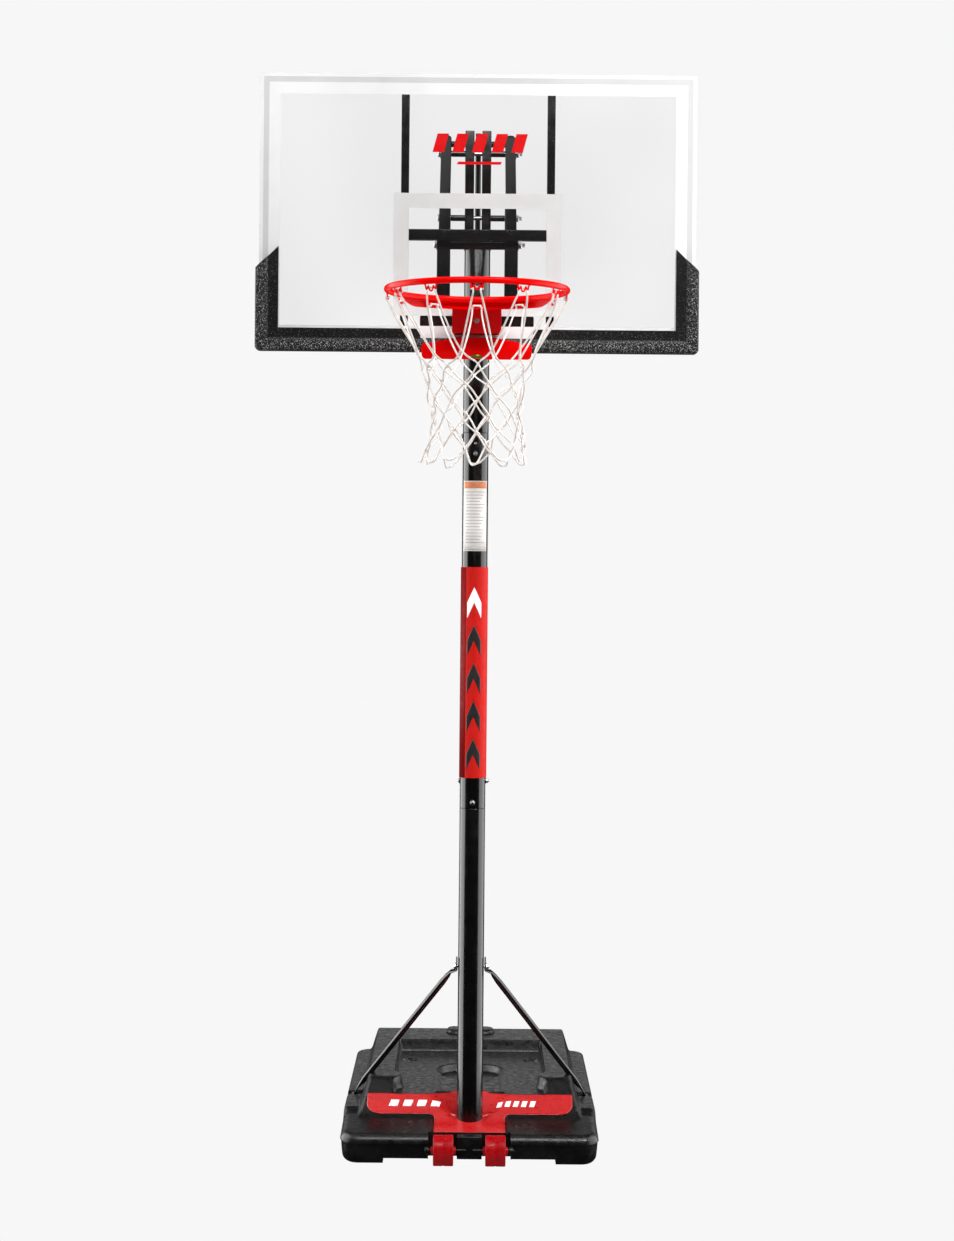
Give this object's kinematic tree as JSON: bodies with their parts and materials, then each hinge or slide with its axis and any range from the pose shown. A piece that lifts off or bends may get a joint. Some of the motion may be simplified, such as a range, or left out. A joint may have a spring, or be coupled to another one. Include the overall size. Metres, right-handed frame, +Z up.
{
  "type": "portable basketball hoop",
  "caption": "Height-adjustable basketball hoop: clear backboard with edge pad, breakaway rim and net on a four-bar lift, round pole and wheeled ballast base.",
  "frame": {"origin": "on the floor, under the middle of the whole hoop's box", "axes": "+X to the right of someone facing the board, +Y behind the board, +Z up"},
  "size_m": [1.237, 1.9765, 3.101],
  "materials": {
    "base_black": "matte",
    "water": "satin",
    "cap_black": "satin",
    "decal_red": "gloss",
    "wheel_red": "satin",
    "zinc": "satin",
    "pole_black": "gloss",
    "frame_black": "satin",
    "frame_white": "satin",
    "rim_red": "gloss",
    "sleeve_red": "satin",
    "label_white": "satin",
    "print_white": "satin",
    "clear": "polished",
    "pad_black": "matte",
    "vial": "gloss",
    "spring_steel": "satin",
    "lever_red": "satin",
    "net_white": "matte"
  },
  "bodies": {
    "stand": {"base_tank": "base_black", "ballast": "water", "base_decal": "decal_red", "wheel_axles": "zinc", "pole_lower": "pole_black", "pole_middle": "pole_black", "pole_upper": "pole_black", "pole_bolts": "zinc", "pole_sleeve": "sleeve_red", "pole_label": "label_white", "strut_left": "frame_black", "strut_right": "frame_black", "strut_bolt": "zinc", "strut_foot_bolts": "zinc", "pole_head": "frame_black", "pole_pivot_bolts": "zinc", "pole_pivot_spacers": "frame_black", "adjuster_guide": "frame_black"},
    "fill_cap": {"fill_cap": "cap_black"},
    "wheel_left": {"wheel_left": "wheel_red"},
    "wheel_right": {"wheel_right": "wheel_red"},
    "lower_arms": {"lower_arm_left": "frame_black", "lower_arm_right": "frame_black"},
    "upper_arms": {"upper_arm_left": "frame_black", "upper_arm_right": "frame_black", "arm_tie": "frame_black", "arm_caps": "cap_black"},
    "adjuster": {"adjuster_rod": "spring_steel"},
    "lock_lever": {"lock_lever": "lever_red"},
    "backboard": {"board_panel": "clear", "board_print": "print_white", "frame_top": "frame_white", "frame_bottom": "frame_white", "frame_left": "frame_white", "frame_right": "frame_white", "frame_upright_left": "frame_black", "frame_upright_right": "frame_black", "frame_cross_bar": "frame_black", "back_plate": "frame_black", "channel_left": "frame_black", "channel_right": "frame_black", "board_pivot_bolts": "zinc", "board_pivot_tubes": "frame_black", "edge_pad_bottom": "pad_black", "edge_pad_left": "pad_black", "edge_pad_right": "pad_black", "rim_mount": "rim_red", "rim_mount_bolts": "zinc", "rim_pivot_pin": "zinc", "rim_springs": "spring_steel", "level_plate": "rim_red", "level_vial": "vial"},
    "rim": {"rim_bracket": "rim_red", "rim_bracket_bolt": "zinc", "rim_gusset": "rim_red", "rim_ring": "rim_red", "net_hooks": "rim_red", "net": "net_white"}
  },
  "joints": [
    {"name": "arm_lift", "type": "hinge", "parent": "stand", "child": "lower_arms", "pos_m": [0, 0.04825, 2.756], "axis": [-1, 0, 0], "range_deg": [0, 77]},
    {"name": "upper_arm_swing", "type": "hinge", "parent": "stand", "child": "upper_arms", "pos_m": [0, 0.04825, 2.946], "axis": [-1, 0, 0], "range_deg": [0, 77.5]},
    {"name": "board_level", "type": "hinge", "parent": "lower_arms", "child": "backboard", "pos_m": [0, -0.30103, 2.44151], "axis": [1, 0, 0], "range_deg": [0, 77.5]},
    {"name": "adjuster_slide", "type": "slide", "parent": "stand", "child": "adjuster", "axis": [0, 0, -1], "range_m": [0, 0.0654]},
    {"name": "lever_pull", "type": "hinge", "parent": "stand", "child": "lock_lever", "pos_m": [0, 0.12225, 2.045], "axis": [1, 0, 0], "range_deg": [0, 25], "stiffness_Nm_per_rad": 1, "springref_deg": -17.19},
    {"name": "rim_breakaway", "type": "hinge", "parent": "backboard", "child": "rim", "pos_m": [0, -0.37975, 2.384], "axis": [1, 0, 0], "range_deg": [0, 20], "stiffness_Nm_per_rad": 250, "springref_deg": -22.92},
    {"name": "wheel_left_spin", "type": "hinge", "parent": "stand", "child": "wheel_left", "pos_m": [-0.075, -0.14975, 0.047], "axis": [1, 0, 0], "continuous": true},
    {"name": "wheel_right_spin", "type": "hinge", "parent": "stand", "child": "wheel_right", "pos_m": [0.075, -0.14975, 0.047], "axis": [1, 0, 0], "continuous": true},
    {"name": "fill_cap_pull", "type": "slide", "parent": "stand", "child": "fill_cap", "axis": [0, 0, 1], "range_m": [0, 0.06]}
  ],
  "couplings": [
    {"joint": "upper_arm_swing", "follows": "arm_lift", "ratio": 1},
    {"joint": "board_level", "follows": "arm_lift", "ratio": 1},
    {"joint": "adjuster_slide", "follows": "arm_lift", "m_per_rad": 0.04808}
  ]
}
